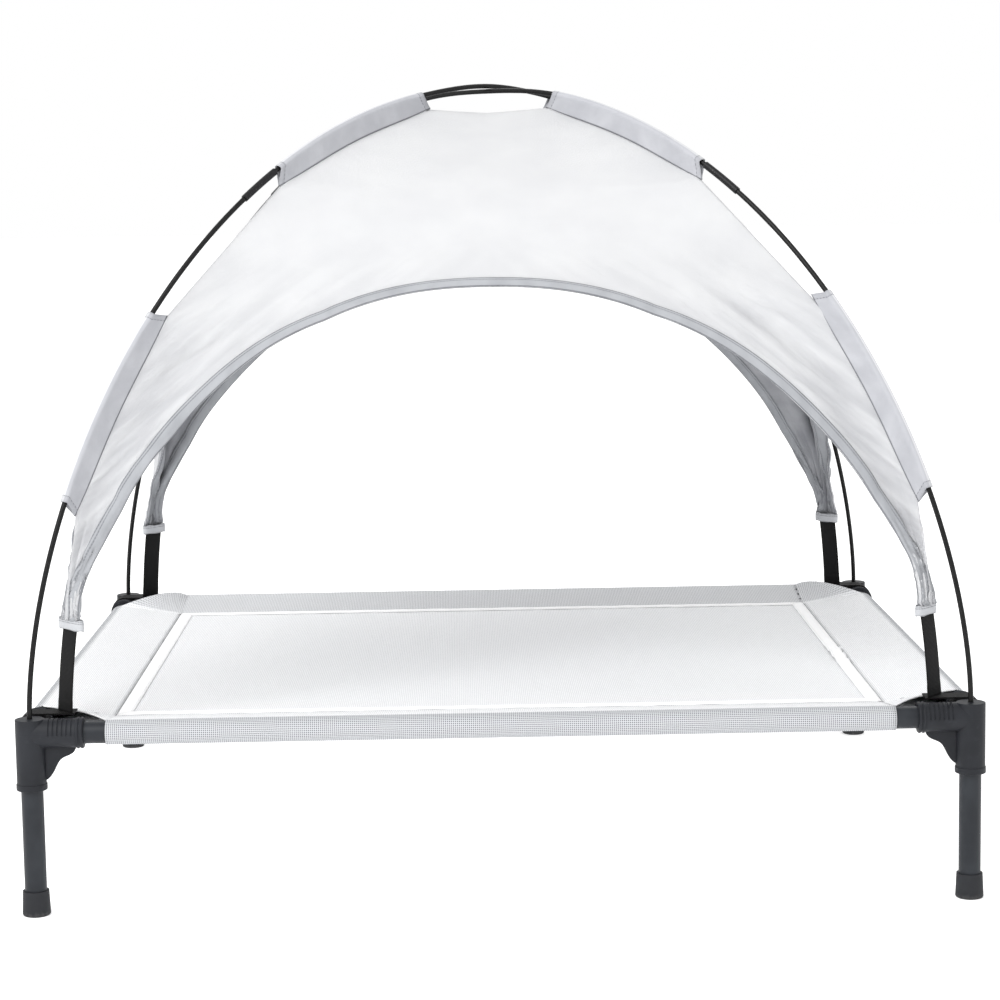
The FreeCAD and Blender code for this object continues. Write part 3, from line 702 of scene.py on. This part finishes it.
def arch_half_width(height, side_post):
    """Half-width of an arch at a height, from its curve's own formula turned round."""
    leg_side = beside_bow(LEG_END_ANGLE, SEAM_DROP)[0] * side_post / half_span - LEG_STRIP
    share = np.clip((height - cuff_bottom) / (ARCH_HEIGHT - cuff_bottom), 0, 1)
    cosine = share ** (1 / ARCH_RISE_POWER)
    return leg_side * (1 - cosine ** 2) ** (ARCH_SIDE_POWER / 2)


def arch_points(count, side_post, strip):
    """Half an arch from leg end to top: width by a power of the sine, rise by one of the cosine."""
    angle = np.linspace(1, 0, count) * np.pi / 2
    leg_side = beside_bow(LEG_END_ANGLE, SEAM_DROP)[0] * side_post / half_span - strip
    side = leg_side * np.sin(angle) ** ARCH_SIDE_POWER
    height = cuff_bottom + (ARCH_HEIGHT - cuff_bottom) * np.abs(np.cos(angle)) ** ARCH_RISE_POWER
    return side, np.maximum(height, cuff_top)


def even(points, count):
    """Resample a line at even steps of its length."""
    step = np.hypot(*np.diff(points, axis=0).T)
    length = np.concatenate([[0], np.cumsum(step)])
    spots = np.linspace(0, length[-1], count)
    return np.stack([np.interp(spots, length, part) for part in points.T], axis=-1)


def fan_folds(side, along, seed, half_width):
    """Folds that fan out of both legs: one smooth and two creased sines of the direction from a
    leg, which rise just off the leg and fade as a Gaussian of the distance from it.
    """
    total = np.zeros_like(side)
    draw = np.random.default_rng(seed)
    for hand in (-1, 1):
        run = side * hand * -1 + half_width
        rise = ridge_end - along
        direction = np.arctan2(rise, run + FAN_SPREAD)
        distance = np.hypot(rise, run)
        phase = draw.uniform(0, 6, 3)
        fan = np.sin(direction * FAN_SMOOTH[0] + phase[2]) * FAN_SMOOTH[1]
        for (pace, share), start in zip(FAN_CREASED, phase):
            fan = fan + (CREASED_MEAN - np.abs(np.sin(direction * pace + start))) * share
        near = np.clip(distance / FAN_CLEAR, 0, 1)
        total += fan * near * np.exp(-(distance / FAN_FADE) ** 2) * FOLD_DEPTH
    return total


def drag_creases(side, along, seed, side_post):
    """Short creases from each leg's ridge up towards the middle: each is a Gaussian trough
    across a straight line, and fades as a parabola along it.
    """
    total = np.zeros_like(side)
    draw = np.random.default_rng(seed + 7)
    for hand in (-1, 1):
        for _ in range(CREASE_COUNT):
            start = ridge_end - draw.uniform(*CREASE_START)
            start_side = np.interp(start, ridge_length, ridge_out) * side_post / half_span
            start_side -= draw.uniform(*CREASE_INSET)
            angle = np.radians(draw.uniform(*CREASE_ANGLE))
            inward = start_side - side * hand
            upward = start - along
            reach = inward * np.cos(angle) + upward * np.sin(angle)
            reach = reach / draw.uniform(*CREASE_LENGTH)
            off = upward * np.cos(angle) - inward * np.sin(angle)
            trough = np.exp(-(off / DRAG_WIDTH) ** 2) * np.clip(4 * reach * (1 - reach), 0, 1)
            total += trough * DRAG_DEPTH * draw.uniform(*CREASE_SHARE)
    return total


def softened(values):
    """A ridge line's values at even lengths, averaged over a window with both ends held."""
    plain = np.interp(even_length, ridge_length, values)
    half = int(RIDGE_WINDOW / even_length[1] / 2)
    padded = np.pad(plain, half, mode="reflect", reflect_type="odd")
    return np.convolve(padded, np.ones(2 * half + 1) / (2 * half + 1), mode="valid")


even_length = np.linspace(0, ridge_end, 801)
soft_out = softened(ridge_out)
soft_up = softened(ridge_up)


def between_ridges(along, share, own_post):
    """Distance out and height at a length: the softened ridge, turning into the true one at it."""
    grip = share ** 3
    own = np.interp(along, even_length, soft_out) * (1 - grip)
    own = own + np.interp(along, ridge_length, ridge_out) * grip
    height = np.interp(along, even_length, soft_up) * (1 - grip)
    height = height + np.interp(along, ridge_length, ridge_up) * grip
    return own * own_post / half_span, height


def panel_surface(own_post, side_post, hem_share, side_count, seed, slack):
    """One panel as (points with the face towards -Y, flat coordinates).

    Each column joins a point of the arch to a point of the ridge at the same share of their
    lengths. hem_share, one number per row, is how far up each row lies, from hem to ridge, and
    slack is how much wider than usual the left leg hangs.
    """
    half = (side_count + 1) // 2
    hems = []
    for strip in (LEG_STRIP * slack, LEG_STRIP):
        arch_side, arch_up = arch_points(400, side_post, strip)
        hems.append(even(np.stack([arch_side, ridge_at_height(arch_up)], axis=-1), half))
    ridge = even(np.stack([ridge_out * side_post / half_span, ridge_length], axis=-1)[::-1], half)
    hem = np.concatenate([hems[0] * [-1, 1], hems[1][::-1][1:]])
    climb = np.interp(hem[:, 1], ridge_length, ridge_up) - cuff_bottom
    climb = climb / (ARCH_HEIGHT - cuff_bottom)
    hem[:, 0] -= ARCH_LEAN * np.clip(climb, 0, 1) ** 2
    ridge = np.concatenate([ridge * [-1, 1], ridge[::-1][1:]])
    share = hem_share[:, None]
    side = hem[:, 0] + (ridge[:, 0] - hem[:, 0]) * share
    along = hem[:, 1] + (ridge[:, 1] - hem[:, 1]) * share
    own, height = between_ridges(along, share, own_post)
    own_next, height_next = between_ridges(along + 0.002, share, own_post)
    slope_own = own_next - own
    slope_up = height_next - height
    length = np.hypot(slope_own, slope_up) + 1e-9
    away_own, away_up = -slope_up / length, slope_own / length
    held = 1 - share ** 6
    folds = fan_folds(side, along, seed, hem[-1, 0])
    lift = held * (folds - drag_creases(side, along, seed, side_post))
    lift = lift + held * SWELL_DEPTH * waves(side, along, seed + 50, 7, 0.14)
    low = np.clip((CRUMPLE_TOP - height) / (CRUMPLE_TOP - cuff_top), 0, 1)
    lift = lift + held * CRUMPLE_DEPTH * low * waves(side, along, seed + 80, 8, 0.035)
    middle = np.cos(np.clip(side / side_post, -1, 1) * np.pi / 2)
    lift = lift - MIDDLE_SAG * held * middle * share * (1 - share) * 4
    own = own + away_own * lift
    height = height + away_up * lift
    own, side = leg_gather(own, side, own_post, side_post, height)
    points = np.stack([side, -own, height], axis=-1)
    return points, np.stack([side, along], axis=-1)


PANELS = (
    ("front", post_y, post_x, 0, 31, 1.15),
    ("right", post_x, post_y, 90, 32, 1.0),
    ("rear", post_y, post_x, 180, 33, 1.6),
    ("left", post_x, post_y, 270, 34, 1.0),
)


def spun(points, degrees):
    """Turn points about the vertical axis through the middle."""
    spin = np.array(Matrix.Rotation(np.radians(degrees), 3, "Z"))
    return points @ spin.T


weave_cloth = Finish("canopy_cloth", Roughness=0.72, Specular_IOR_Level=0.2, Sheen_Weight=0.25)
along, across, _ = weave_cloth.axes(weave_cloth.cloth())
warp = (along * (2 * np.pi / THREAD_PITCH)).sine()
weft = (across * (2 * np.pi / THREAD_PITCH)).sine()
threads = (warp * weft + 1) * 0.5
cloud = weave_cloth.noise(weave_cloth.cloth(), 14, 4)
drawn = weave_cloth.node("ShaderNodeCombineXYZ", inputs={
    "X": (along.size() + across) * 7, "Y": (along.size() - across) * 42})
streak = weave_cloth.noise(drawn, 1.0, 2).fade(0.30, 0.66)
# Painted shade: towards the legs the cloth is painted a darker grey in streaks, for the shade in
# the gathered folds there.
near_leg = across.fade(ridge_end * 0.42, ridge_end * 0.80)
plain = weave_cloth.mix(cloud.fade(0.25, 0.75), (0.665, 0.67, 0.685, 1), (0.715, 0.72, 0.73, 1))
leg_fold_shade = (0.30 + (1 - streak) * 0.70) * near_leg
weave_cloth.paint("Base Color", weave_cloth.mix(leg_fold_shade, plain, (0.47, 0.475, 0.495, 1)))
rumple = weave_cloth.noise(weave_cloth.cloth(), 38, 3)
weave_cloth.relief(threads * 0.08 + rumple * 0.32 + streak * near_leg * 0.6, 0.0040)

# Painted shade: the inner face of the same thin cloth is painted dark grey for the shade inside the
# canopy.
inner_face_shade = Finish("canopy_inner_shade", Roughness=0.8, Specular_IOR_Level=0.15)
streaks = inner_face_shade.noise(inner_face_shade.cloth(), 24, 4)
inner_face_shade.paint("Base Color", inner_face_shade.mix(
    streaks.fade(0.3, 0.7), (0.26, 0.265, 0.285, 1), (0.36, 0.365, 0.385, 1)))
inner_face_shade.relief(inner_face_shade.noise(inner_face_shade.cloth(), 80, 4), 0.0005)

canopy_grids = []
for face, own_post, side_post, degrees, seed, slack in PANELS:
    rows = np.linspace(0, 1, PANEL_ROWS)
    surface, flat = panel_surface(own_post, side_post, rows, PANEL_COLUMNS, seed, slack)
    canopy_grids.append((spun(surface, degrees), flat))
canopy = cloth_piece("canopy", canopy_grids, weave_cloth, CLOTH_THICKNESS, "shade")
canopy.data.materials.append(inner_face_shade.material)
canopy.modifiers["thickness"].material_offset = 1
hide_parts(*[f"canopy_panel_{face}" for face, *_ in PANELS])


# ------------------------------------------------------------------ arch hems
# The edge of each arch is turned in twice and stitched with two rows, a thicker band about a
# finger's width. Its greys are the canopy cloth painted darker, as painted shade for the doubled
# band.

HEM_WIDTH = 0.0118
HEM_THICKNESS = 0.0027
HEM_ROWS = 73
HEM_LEVELS = 7
STITCH_PITCH = 0.0032


def hem_cloth_finish(name, light, shadow, width):
    """Doubled cloth with two rows of stitches; flat coordinates run along it and across it."""
    finish = Finish(name, Roughness=0.75, Specular_IOR_Level=0.2, Sheen_Weight=0.2)
    along, across, _ = finish.axes(finish.cloth())
    rows = 1 - ((across - width * 0.86).size() - width * 0.10).size().fade(0.0002, 0.0006)
    rows = rows * (0.6 + (along * (2 * np.pi / STITCH_PITCH)).sine().fade(-0.4, 0.2) * 0.4)
    stitches = rows.math("MAXIMUM", rows, 1 - across.fade(0.0004, 0.0009))
    cloud = finish.noise(finish.cloth(), 40, 4)
    darkened = stitches * 0.7 + cloud.fade(0.3, 0.8) * 0.3
    finish.paint("Base Color", finish.mix(darkened, light, shadow))
    finish.relief((1 - stitches) * 0.6 + finish.noise(finish.cloth(), 900, 2) * 0.4, 0.0005)
    return finish


hem_cloth = hem_cloth_finish(
    "hem_cloth", (0.345, 0.355, 0.375, 1), (0.15, 0.155, 0.17, 1), HEM_WIDTH)
hem_grids = []
for face, own_post, side_post, degrees, seed, slack in PANELS:
    fine = np.linspace(0, 0.95, HEM_ROWS) ** 2
    surface, flat = panel_surface(own_post, side_post, fine, PANEL_COLUMNS, seed, slack)
    edge = np.gradient(flat[0], axis=0)
    upward = (flat[-1] - flat[0]) / fine[-1]
    square = np.abs(edge[:, 0] * upward[:, 1] - edge[:, 1] * upward[:, 0]) / np.hypot(*edge.T)
    depth = fine[:, None] * square
    steps = np.linalg.norm(np.diff(surface[0], axis=0), axis=-1)
    run = np.concatenate([[0], np.cumsum(steps)])
    levels = np.linspace(0, HEM_WIDTH, HEM_LEVELS)
    band = np.empty((HEM_LEVELS,) + surface.shape[1:])
    for column in range(surface.shape[1]):
        for part in range(3):
            band[:, column, part] = np.interp(levels, depth[:, column], surface[:, column, part])
    flat_band = np.stack(np.broadcast_arrays(run[None, :], levels[:, None]), axis=-1)
    hem_grids.append((spun(band, degrees), flat_band))
hems = cloth_piece("canopy_hems", hem_grids, hem_cloth, HEM_THICKNESS, "shade")


# ------------------------------------------------------------------ pole sleeves
# Eight flat tubes of the same cloth, doubled, sewn in the ridges: one high and one low on each
# leg of each pole. The pole fills the outer edge, and each open end is turned and stitched.

SLEEVE_BORE = 0.0034
SLEEVE_CLOTH = 0.0008
SLEEVE_HEM = 0.006
SLEEVE_SLANT = 0.45
SLEEVE_GIRTH = 2 * SEAM_DROP + np.pi * SLEEVE_BORE
ROUND_SHARE = 0.45
SEAM_SPARE = 0.0005
CROSSING_REACH = 0.060
PUFF = 0.25
PUFF_REACH = 0.012
CREASE_DEPTH = 0.0011
RIGHT_SLIP = 1.3


def pole_sleeve(side_x, side_y, lift_sign, angles):
    """A loop round the pole that closes to a flat seam, carried along the poles' curve.

    The section is an open line: from the seam out to the pole, half round it, and back.
    """
    around = np.linspace(-1, 1, 41)
    share = np.linspace(0, 1, 61)[:, None]
    straight = np.clip((np.abs(around) - ROUND_SHARE) / (1 - ROUND_SHARE), 0, 1)
    turn_angle = np.clip(np.abs(around) / ROUND_SHARE, 0, 1) * np.pi / 2
    inward = np.where(straight > 0, straight * seam_drop(share), -SLEEVE_BORE * np.cos(turn_angle))
    closing = SLEEVE_BORE * (1 - straight) ** 1.5 + SEAM_SPARE
    rounding = SLEEVE_BORE * np.sin(turn_angle) + SEAM_SPARE * np.sin(turn_angle)
    sideways = np.where(straight > 0, closing, rounding) * np.sign(around)
    slant = SLEEVE_SLANT * (1 - 2 * straight[None, :]) * (2 * share - 1) ** 5
    angle = angles[0] + (angles[1] - angles[0]) * share - slant
    distance, height = bow(angle)
    run, rise = bow_slope(angle)
    nudge = lift_sign * CROSSING_LIFT * np.exp(-(distance / CROSSING_REACH) ** 2)
    out = np.array([side_x * post_x, side_y * post_y, 0]) / half_span
    flank = np.cross(out, [0, 0, 1])
    step = np.hypot(np.diff(distance, axis=0), np.diff(height, axis=0))
    along = np.concatenate([np.zeros((1, len(around))), np.cumsum(step, axis=0)])
    end_gap = np.minimum(along, along[-1] - along)
    across = np.broadcast_to((around + 1) / 2 * SLEEVE_GIRTH, along.shape)
    seed = int(10 * angles[0]) + side_x + 2 * side_y
    crease = CREASE_DEPTH * waves(along * 2.2 + across, across - along, seed, 7, 0.030)
    puff = 1 + PUFF * np.exp(-(end_gap / PUFF_REACH) ** 2)
    crease = crease * straight[None, :] * (1 - straight[None, :]) * 4
    flat_side = sideways[None, :] * puff + crease
    spots = out * (distance + rise * inward)[..., None]
    spots = spots + np.array([0, 0, 1]) * (height + nudge - run * inward)[..., None]
    spots = spots + flank * flat_side[..., None]
    return spots, np.stack([end_gap, across], axis=-1), along[-1].mean()


sleeve_cloth = Finish("sleeve_cloth", Roughness=0.74, Specular_IOR_Level=0.2)
end_gap, across, _ = sleeve_cloth.axes(sleeve_cloth.cloth())
cloud = sleeve_cloth.noise(sleeve_cloth.cloth(), 30, 4)
seam_gap = SLEEVE_GIRTH / 2 - (across - SLEEVE_GIRTH / 2).size()
end_stitch = 1 - (end_gap - SLEEVE_HEM).size().fade(0.0002, 0.0006)
end_stitch = end_stitch * (across * 2000).sine().fade(-0.5, 0.1)
seam_stitch = 1 - seam_gap.fade(0.0006, 0.0013)
stitch = end_stitch.math("MAXIMUM", end_stitch, seam_stitch)
turned = 1 - end_gap.fade(SLEEVE_HEM, SLEEVE_HEM + 0.0008)
# Painted shade: the sleeves' greys are the canopy cloth painted darker for the doubled layers, with
# the turned ends and the stitches painted darker still.
plain = sleeve_cloth.mix(cloud.fade(0.25, 0.8), (0.365, 0.37, 0.395, 1), (0.435, 0.44, 0.465, 1))
# Painted highlight: a lighter strip along the pole's line, where the cloth stretched over the pole
# catches the light.
pole_highlight = 1 - (across - SLEEVE_GIRTH / 2).size().fade(0.0030, 0.0048)
plain = sleeve_cloth.mix(pole_highlight * 0.8, plain, (0.60, 0.605, 0.62, 1))
darkened = stitch * 0.8 + turned * 0.2
sleeve_cloth.paint("Base Color", sleeve_cloth.mix(darkened, plain, (0.17, 0.175, 0.19, 1)))
weave = sleeve_cloth.noise(sleeve_cloth.cloth(), 1500, 2)
wrinkle = sleeve_cloth.noise(sleeve_cloth.cloth(), 90, 4)
sleeve_cloth.relief(wrinkle * 0.5 + weave * 0.15 + turned * 0.25 - stitch * 0.2, 0.0010)
POLE_OF = {
    "front_left": "pole_a", "rear_right": "pole_a",
    "front_right": "pole_b", "rear_left": "pole_b",
}
for corner, (side_x, side_y) in CORNERS.items():
    lower_start = LOWER_SLEEVE[0] - (RIGHT_SLIP if corner == "front_right" else 0)
    levels = (("upper", UPPER_SLEEVE), ("lower", (lower_start, LOWER_SLEEVE[1])))
    for level_name, angles in levels:
        over = POLE_OF[corner] == "pole_a"
        spots, flat, length = pole_sleeve(side_x, side_y, 1 if over else -1, angles)
        name = f"{level_name}_{corner}"
        piece = cloth_piece(f"sleeve_{name}", [(spots, flat)], sleeve_cloth, SLEEVE_CLOTH,
                            "shade")
        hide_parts(f"pole_sleeve_{name}")
        part = "middle" if level_name == "upper" else corner.split("_")[0]


# ------------------------------------------------------------------ leg cuffs
# A short band of doubled cloth closes each gathered leg of the canopy round its strap.

CUFF_FLARE = 0.0008
CUFF_SPARE_WIDTH = 0.0008
CUFF_SPARE_DEPTH = 0.0006
CUFF_RIPPLE = 0.0004
CUFF_UNROLLED = 0.010
CUFF_SEAM = 0.0095
FRONT_LEFT_CUFF = 1.2


def cuff_band(side_x, side_y):
    """Flat oval ring: a super-ellipse across the diagonal, carried straight up.

    Its depth swells at mid-height by half a sine, and its edges ripple a little.
    """
    turn_angle, level = np.meshgrid(np.linspace(0, 2 * np.pi, 65), np.linspace(0, 1, 9))
    cosine = np.cos(turn_angle)
    sine = np.sin(turn_angle)
    wide = CUFF_HALF_WIDTH + CUFF_SPARE_WIDTH
    if (side_x, side_y) == CORNERS["front_left"]:
        wide = wide * FRONT_LEFT_CUFF
    deep = CUFF_HALF_DEPTH + CUFF_SPARE_DEPTH + CUFF_FLARE * np.sin(level * np.pi)
    flank = wide * np.sign(cosine) * np.abs(cosine) ** 0.7
    out_by = deep * np.sign(sine) * np.abs(sine) ** 0.8
    out = np.array([side_x * post_x, side_y * post_y, 0]) / half_span
    across = np.cross(out, [0, 0, 1])
    height = cuff_bottom + (cuff_top + 0.001 - cuff_bottom) * level
    height = height + CUFF_RIPPLE * np.sin(turn_angle * 5)
    spots = out * (half_span - CUFF_INSET + out_by)[..., None] + across * flank[..., None]
    spots = spots + np.array([0, 0, 1]) * height[..., None]
    flat = np.stack([turn_angle * CUFF_UNROLLED, height - cuff_bottom], axis=-1)
    return spots, flat


# Painted shade: the cuffs' greys are the canopy cloth painted darker for the doubled band.
cuff_cloth = hem_cloth_finish(
    "cuff_cloth", (0.46, 0.47, 0.49, 1), (0.20, 0.205, 0.22, 1), CUFF_SEAM)
for corner, (side_x, side_y) in CORNERS.items():
    ring = [cuff_band(side_x, side_y)]
    band = cloth_piece(f"cuff_{corner}", ring, cuff_cloth, 0.0010, "shade")
    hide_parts(f"leg_cuff_{corner}")


# ------------------------------------------------------------------ straps
# Black ribbed elastic webbing holds each canopy leg down: a band round the side arm with a flap,
# and a strap sewn to the flap with a folded toe, running up into the cuff.

WEBBING_COLOUR = (0.002, 0.002, 0.002, 1)
WEBBING_LIGHT = (0.010, 0.010, 0.011, 1)
STRAP_HALF = 0.0125
STRAP_THICKNESS = 0.0013
STRAP_RIB = 0.0012
LOOP_RIB = 0.0017
STRAP_FOOT_INSET = 0.039
STRAP_BOW = 0.0012
TOE_GROWTH = 1.1
TOE_END = 0.11
TOE_STEP = 0.03

webbing = Finish("ribbed_webbing", Roughness=0.7, Specular_IOR_Level=0.16)
along, across, _ = webbing.axes(webbing.cloth())
ribs = ((along * (2 * np.pi / STRAP_RIB)).sine() + 1) * 0.5
selvedge = across.size().fade(STRAP_HALF - 0.0024, STRAP_HALF - 0.0016)
webbing.paint("Base Color", webbing.mix(ribs * 0.5 * (1 - selvedge), WEBBING_COLOUR, WEBBING_LIGHT))
webbing.relief(ribs * 0.6 + selvedge * 0.4, 0.0003)


def ribbon(centre, flank, width_half, half_thick):
    """Closed flat band: a rounded flat section carried along a line of centres.

    centre and flank are arrays of points and unit directions; the section's thin way is square
    to both the line and the flank.
    """
    turn_angle = np.linspace(0, 2 * np.pi, 25)
    wide = width_half * np.sign(np.cos(turn_angle)) * np.abs(np.cos(turn_angle)) ** 0.35
    flatness = np.sign(np.sin(turn_angle)) * np.abs(np.sin(turn_angle)) ** 0.6
    thin = half_thick[:, None] * flatness[None, :]
    heading = np.gradient(centre, axis=0)
    heading = heading / np.linalg.norm(heading, axis=1, keepdims=True)
    normal = np.cross(heading, flank)
    normal = normal / np.linalg.norm(normal, axis=1, keepdims=True)
    spots = centre[:, None, :] + flank[:, None, :] * wide[None, :, None]
    spots = spots + normal[:, None, :] * thin[..., None]
    steps = np.linalg.norm(np.diff(centre, axis=0), axis=1)
    run = np.concatenate([[0], np.cumsum(steps)])
    flat = np.stack(np.broadcast_arrays(run[:, None], wide[None, :]), axis=-1)
    closed_start = np.repeat(centre[:1, None, :], len(turn_angle), axis=1)
    closed_end = np.repeat(centre[-1:, None, :], len(turn_angle), axis=1)
    spots = np.concatenate([closed_start, spots, closed_end])
    flat = np.concatenate([flat[:1], flat, flat[-1:]])
    return spots, flat


loop_webbing = Finish("loop_webbing", Roughness=0.7, Specular_IOR_Level=0.16)
fibre = loop_webbing.noise(loop_webbing.place(), 900, 3)
spot_x, _, spot_z = loop_webbing.axes(loop_webbing.place())
loop_ribs = (((spot_x + spot_z) * (2 * np.pi / LOOP_RIB)).sine() + 1) * 0.5
loop_webbing.paint("Base Color", loop_webbing.mix(
    fibre.fade(0.35, 0.75) * 0.6, WEBBING_COLOUR, WEBBING_LIGHT))
loop_webbing.relief(loop_ribs * 0.5 + fibre * 0.5, 0.0003)
dress(loop_webbing, *[f"strap_loop_{corner}" for corner in CORNERS])

for corner, (side_x, side_y) in CORNERS.items():
    low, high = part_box(f"strap_{corner}")
    out = np.array([side_x * post_x, side_y * post_y, 0]) / half_span
    flank = np.cross(out, [0, 0, 1])
    share = np.linspace(0, 1, 61)
    inset = STRAP_FOOT_INSET + (CUFF_INSET - STRAP_FOOT_INSET) * share
    lean = STRAP_BOW * np.sin(share * np.pi)
    centre = out * (half_span - inset + lean)[:, None]
    centre = centre + np.array([0, 0, 1]) * (low.z + (high.z - low.z) * share)[:, None]
    toe = 1 + TOE_GROWTH * (1 - np.clip((share - TOE_END) / TOE_STEP, 0, 1))
    flanks = np.repeat(flank[None, :], len(share), axis=0)
    grid = ribbon(centre, flanks, STRAP_HALF, STRAP_THICKNESS / 2 * toe)
    piece = cloth_piece(f"strap_band_{corner}", [grid], webbing, 0, None)
    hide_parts(f"strap_{corner}")
    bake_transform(piece)
